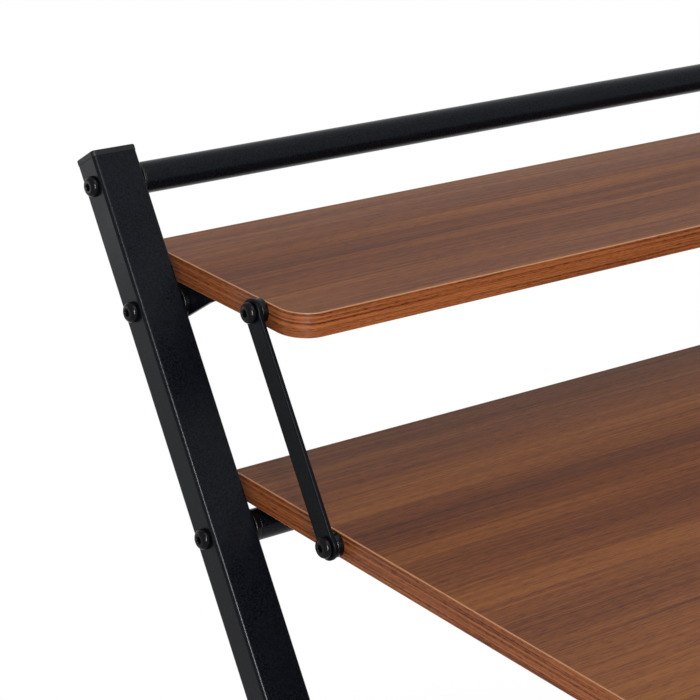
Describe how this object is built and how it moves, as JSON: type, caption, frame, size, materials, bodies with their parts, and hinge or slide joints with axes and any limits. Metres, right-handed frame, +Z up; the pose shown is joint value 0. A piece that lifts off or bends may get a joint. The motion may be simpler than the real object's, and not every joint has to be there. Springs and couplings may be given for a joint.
{
  "type": "ladder desk",
  "caption": "Folding writing desk with two leaning tube posts, a wood-effect desktop and shelf joined by links, a top rail, a support frame and hinged rear legs.",
  "frame": {"origin": "centre of the footprint on the floor", "axes": "+X to the sitter's right across the desk, -Y towards the sitter, +Z up"},
  "size_m": [0.8766, 0.6716, 0.9122],
  "materials": {
    "powder_coat": "black fine-texture powder coat",
    "black_bolts": "black oxide, semi-gloss",
    "zinc_hardware": "bright zinc plate",
    "black_plastic": "moulded nylon, satin",
    "rubber_feet": "moulded rubber",
    "walnut_laminate": "walnut-effect melamine, matt",
    "edge_band": "walnut-effect edge band, matt"
  },
  "bodies": {
    "post_frame": {"left_post": "powder_coat", "right_post": "powder_coat", "left_post_cap": "black_plastic", "right_post_cap": "black_plastic", "left_post_foot": "rubber_feet", "right_post_foot": "rubber_feet", "top_rail": "powder_coat", "top_rail_plugs": "black_plastic", "top_rail_bolts": "black_bolts", "front_stretcher": "powder_coat", "left_rear_bracket": "powder_coat", "right_rear_bracket": "powder_coat", "rear_hinge_bolts": "black_bolts", "rear_hinge_nuts": "zinc_hardware", "support_pivot_spacers": "black_plastic", "support_pivot_bolts": "black_bolts", "support_pivot_nuts": "zinc_hardware"},
    "desktop": {"desktop_panel": "walnut_laminate", "desktop_edge_band": "edge_band", "desktop_pivot_tube": "powder_coat", "desktop_tube_plugs": "black_plastic", "desktop_pivot_bolts": "black_bolts", "left_glide": "black_plastic", "right_glide": "black_plastic", "desktop_link_inserts": "black_bolts", "desktop_link_bolts": "black_bolts"},
    "shelf": {"shelf_panel": "walnut_laminate", "shelf_edge_band": "edge_band", "left_shelf_bracket": "powder_coat", "right_shelf_bracket": "powder_coat", "shelf_pivot_bushings": "black_plastic", "shelf_pivot_bolts": "black_bolts", "shelf_pivot_nuts": "zinc_hardware", "shelf_link_inserts": "black_bolts", "shelf_link_bolts": "black_bolts"},
    "left_link": {"left_link": "powder_coat"},
    "right_link": {"right_link": "powder_coat"},
    "support_frame": {"support_frame": "powder_coat"},
    "rear_legs": {"left_rear_leg": "powder_coat", "right_rear_leg": "powder_coat", "rear_leg_caps": "black_plastic", "left_rear_foot": "rubber_feet", "right_rear_foot": "rubber_feet", "rear_stretcher": "powder_coat"}
  },
  "joints": [
    {"name": "desktop_fold", "type": "hinge", "parent": "post_frame", "child": "desktop", "pos_m": [0, 0.19375, 0.7125], "axis": [1, 0, 0], "range_deg": [0, 56]},
    {"name": "shelf_fold", "type": "hinge", "parent": "post_frame", "child": "shelf", "pos_m": [0, 0.27092, 0.82691], "axis": [1, 0, 0], "range_deg": [0, 56]},
    {"name": "left_link_turn", "type": "hinge", "parent": "desktop", "child": "left_link", "pos_m": [-0.406, 0.11575, 0.732], "axis": [1, 0, 0], "range_deg": [-56, 0]},
    {"name": "right_link_turn", "type": "hinge", "parent": "desktop", "child": "right_link", "pos_m": [0.406, 0.11575, 0.732], "axis": [1, 0, 0], "range_deg": [-56, 0]},
    {"name": "support_fold", "type": "hinge", "parent": "post_frame", "child": "support_frame", "pos_m": [0, 0.05004, 0.49944], "axis": [1, 0, 0], "range_deg": [0, 112]},
    {"name": "rear_legs_fold", "type": "hinge", "parent": "post_frame", "child": "rear_legs", "pos_m": [0, 0.04886, 0.44837], "axis": [-1, 0, 0], "range_deg": [0, 65.27]}
  ],
  "couplings": [
    {"joint": "shelf_fold", "follows": "desktop_fold", "ratio": 1},
    {"joint": "left_link_turn", "follows": "desktop_fold", "ratio": -1},
    {"joint": "right_link_turn", "follows": "desktop_fold", "ratio": -1},
    {"joint": "support_fold", "follows": "desktop_fold", "ratio": 2}
  ]
}
